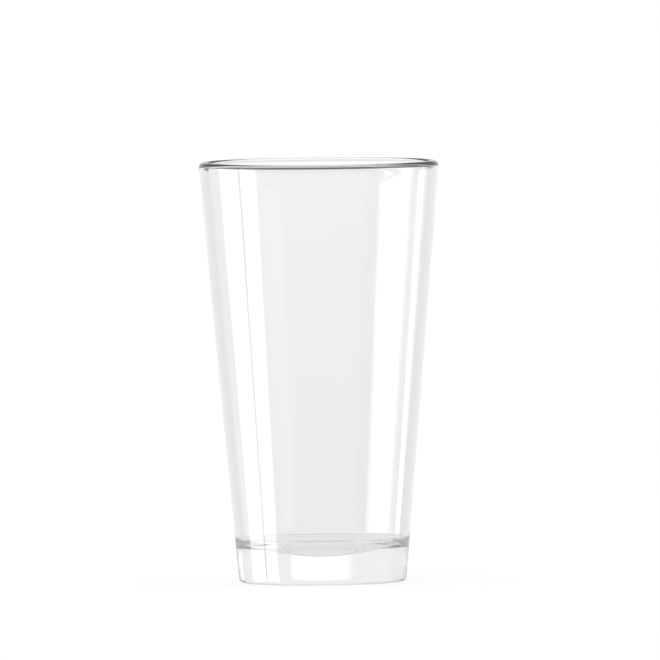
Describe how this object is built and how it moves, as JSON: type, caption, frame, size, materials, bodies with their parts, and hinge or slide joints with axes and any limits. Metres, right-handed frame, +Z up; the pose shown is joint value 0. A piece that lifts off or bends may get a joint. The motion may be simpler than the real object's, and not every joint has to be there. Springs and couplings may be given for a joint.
{
  "type": "mixing glass",
  "caption": "Clear straight-sided conical mixing glass with a rounded rim, a thick solid base and a flat floor with a shallow recess, for shaking, stirring and serving drinks.",
  "frame": {"origin": "centre of the bearing ring under the foot, on the surface the glass stands on", "axes": "+Z up along the axis of the glass, from the foot to the open rim; +X and +Y are any two square directions, because the glass is a body of revolution"},
  "size_m": [0.0852, 0.0852, 0.1492],
  "materials": {
    "clear_glass": "colourless, fire-polished, smooth and glossy on every surface"
  },
  "bodies": {
    "root": {"glass_body": "clear_glass"}
  },
  "joints": []
}
